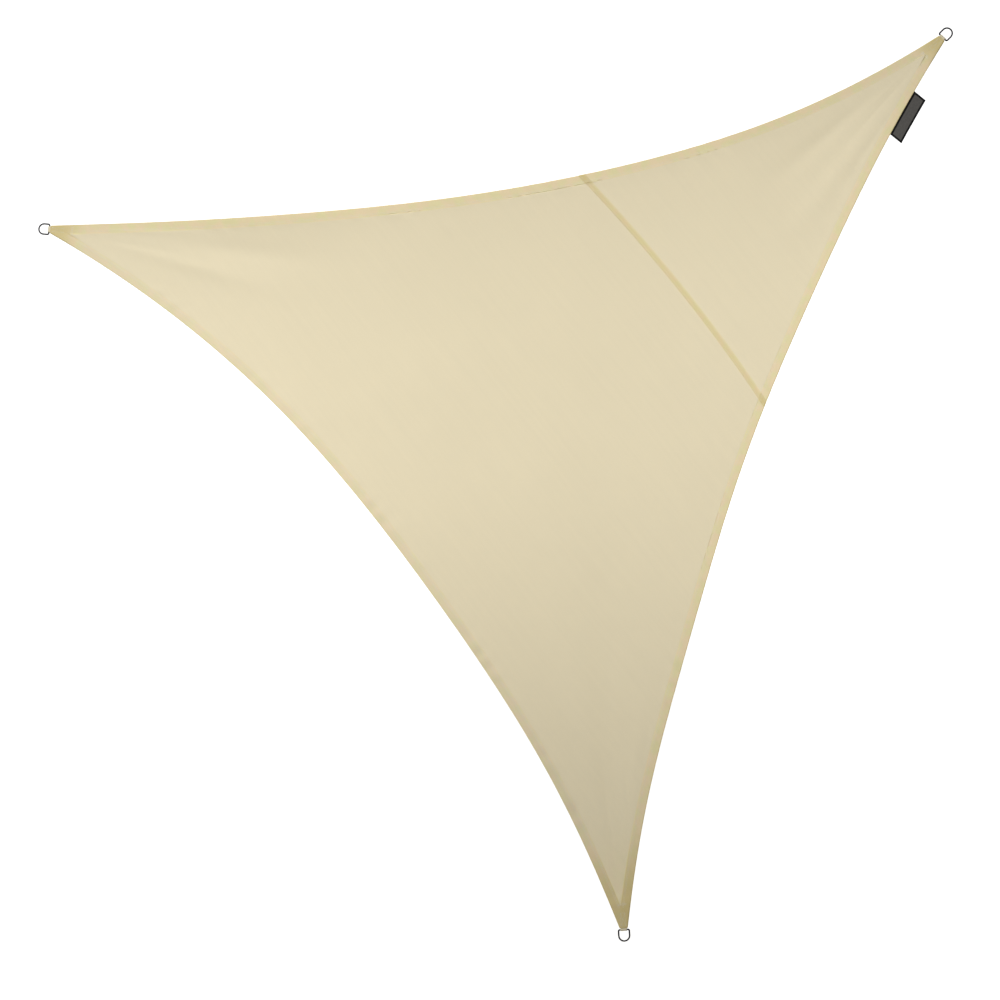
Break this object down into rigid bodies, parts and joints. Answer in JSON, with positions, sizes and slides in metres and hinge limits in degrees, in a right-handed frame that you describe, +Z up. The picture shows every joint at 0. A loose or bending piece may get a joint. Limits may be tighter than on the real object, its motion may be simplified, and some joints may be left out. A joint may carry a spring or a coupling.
{
  "type": "triangular shade sail",
  "caption": "Triangular knitted cloth sail hung between high and low supports, with turned hems, a lapped seam, and a webbing loop with a steel D-ring in each corner.",
  "frame": {"origin": "eye of the high corner's ring", "axes": "+X level, from the left ring towards the high ring; +Z up; the sail slopes down towards -X and -Y"},
  "size_m": [2.9513, 2.4646, 1.2797],
  "materials": {
    "cloth": "matt knitted shade cloth, sand",
    "webbing": "woven webbing, pale sand",
    "ring_steel": "polished stainless wire",
    "tab_cloth": "woven tape, charcoal, bare"
  },
  "bodies": {
    "root": {"panel_main": "cloth", "panel_corner": "cloth", "strap_high": "webbing", "strap_left": "webbing", "strap_low": "webbing", "ring_high": "ring_steel", "ring_left": "ring_steel", "ring_low": "ring_steel", "side_tab": "tab_cloth"}
  },
  "joints": []
}
